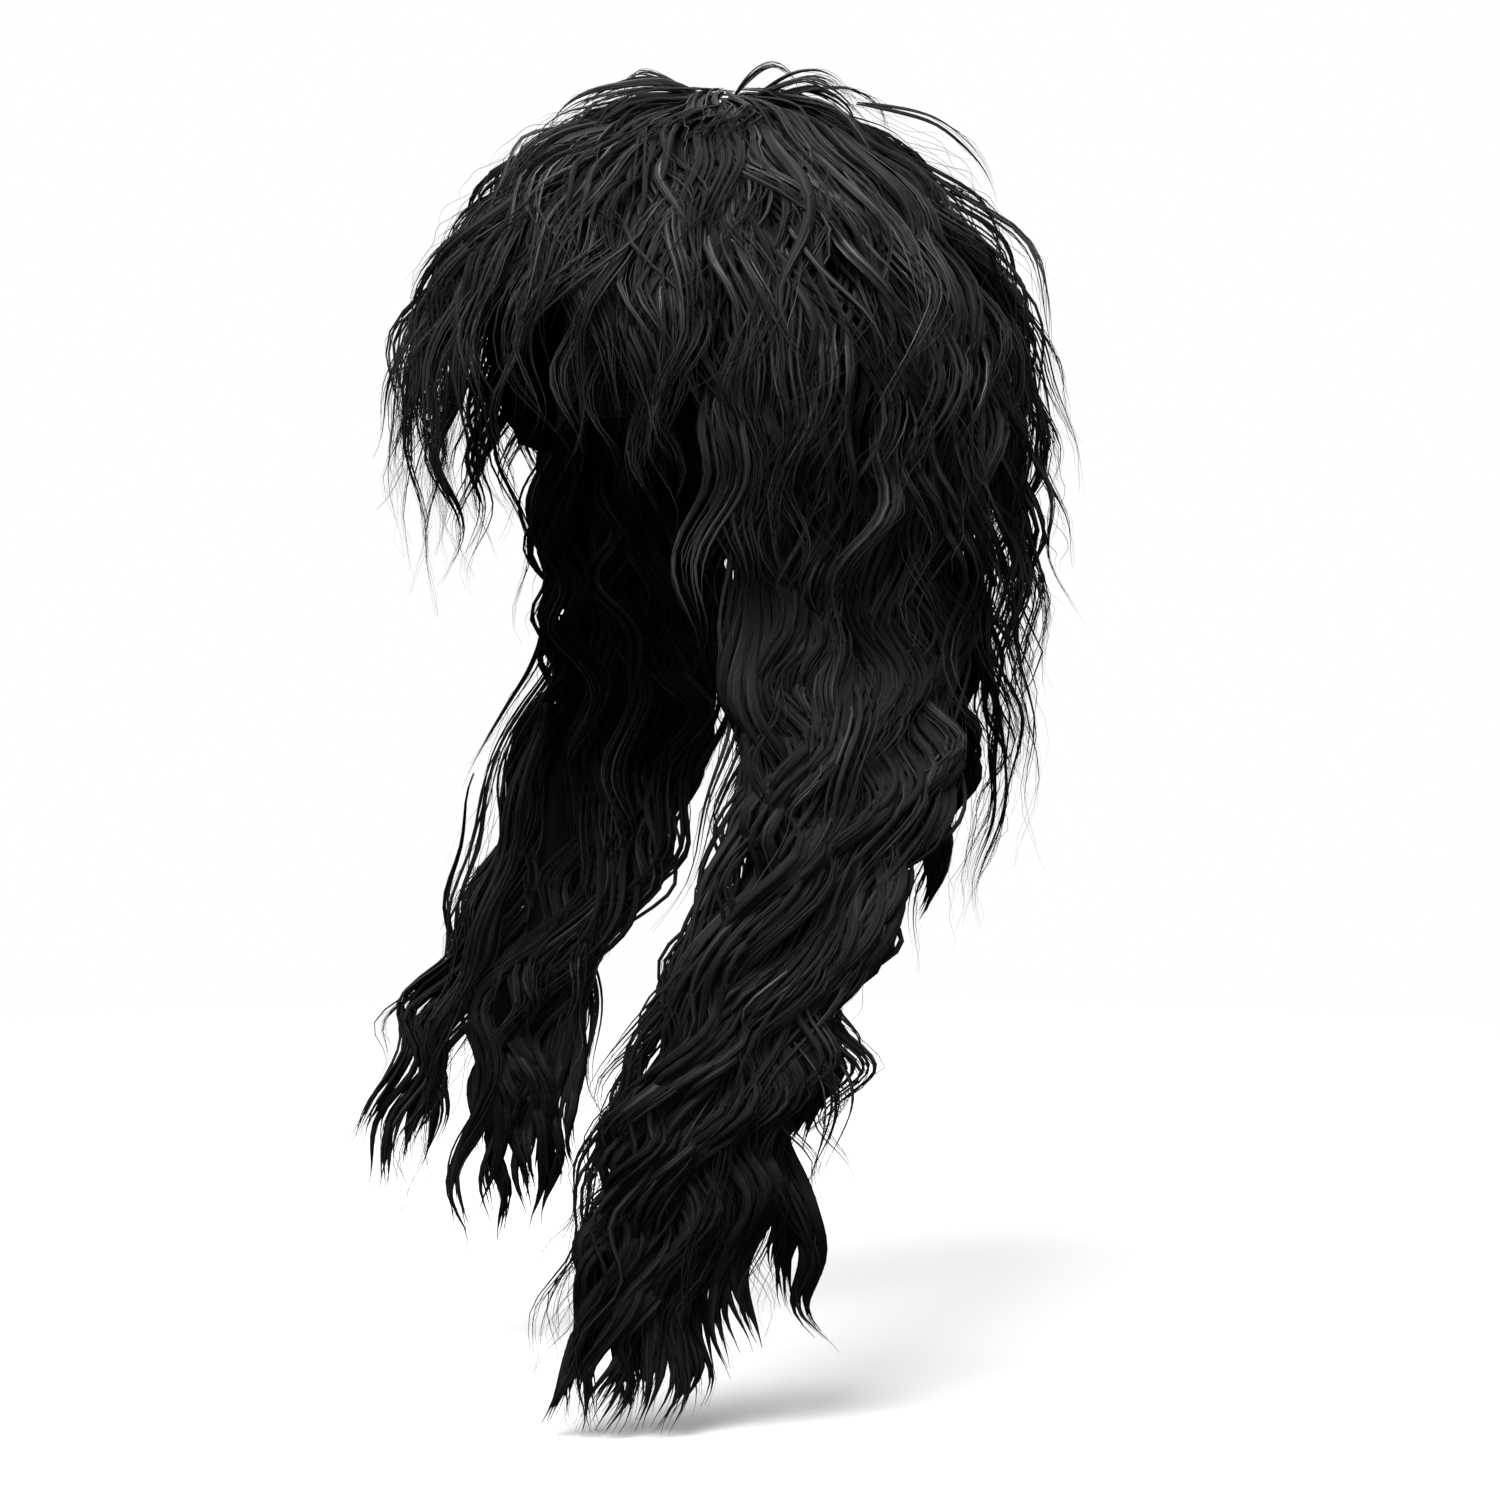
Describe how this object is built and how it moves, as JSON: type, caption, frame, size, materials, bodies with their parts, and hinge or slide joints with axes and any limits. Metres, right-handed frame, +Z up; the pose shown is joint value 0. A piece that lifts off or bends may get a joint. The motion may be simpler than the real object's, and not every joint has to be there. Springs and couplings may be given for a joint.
{
  "type": "wavy wig",
  "caption": "Long black wavy wig in its worn form: an open cap with a tousled crown, a parted fringe, layered sides and long locks that fall before the shoulders.",
  "frame": {"origin": "inside of the cap at its top, on the head's vertical axis, where the top of a head bears", "axes": "+Z up, -Y out of the face opening, +X to the wearer's left"},
  "size_m": [0.2379, 0.2732, 0.5095],
  "materials": {
    "hair": "fine black synthetic hair, softly glossy along the strands",
    "cap_net": "black stretch net with sewn rows of weft"
  },
  "bodies": {
    "root": {"wig_cap": "cap_net", "crown_layer": "hair", "fringe_lock_1": "hair", "fringe_lock_2": "hair", "fringe_lock_3": "hair", "fringe_lock_4": "hair", "fringe_lock_5": "hair", "fringe_lock_6": "hair", "fringe_lock_7": "hair", "middle_lock_1": "hair", "middle_lock_2": "hair", "middle_lock_3": "hair", "middle_lock_4": "hair", "middle_lock_5": "hair", "middle_lock_6": "hair", "middle_lock_7": "hair", "middle_lock_8": "hair", "middle_lock_9": "hair", "middle_lock_10": "hair", "left_lock_1": "hair", "left_lock_2": "hair", "left_lock_3": "hair", "left_lock_4": "hair", "left_lock_5": "hair", "right_lock_1": "hair", "right_lock_2": "hair", "right_lock_3": "hair", "right_lock_4": "hair", "right_lock_5": "hair", "back_lock_1": "hair", "back_lock_2": "hair", "back_lock_3": "hair", "back_lock_4": "hair"}
  },
  "joints": []
}
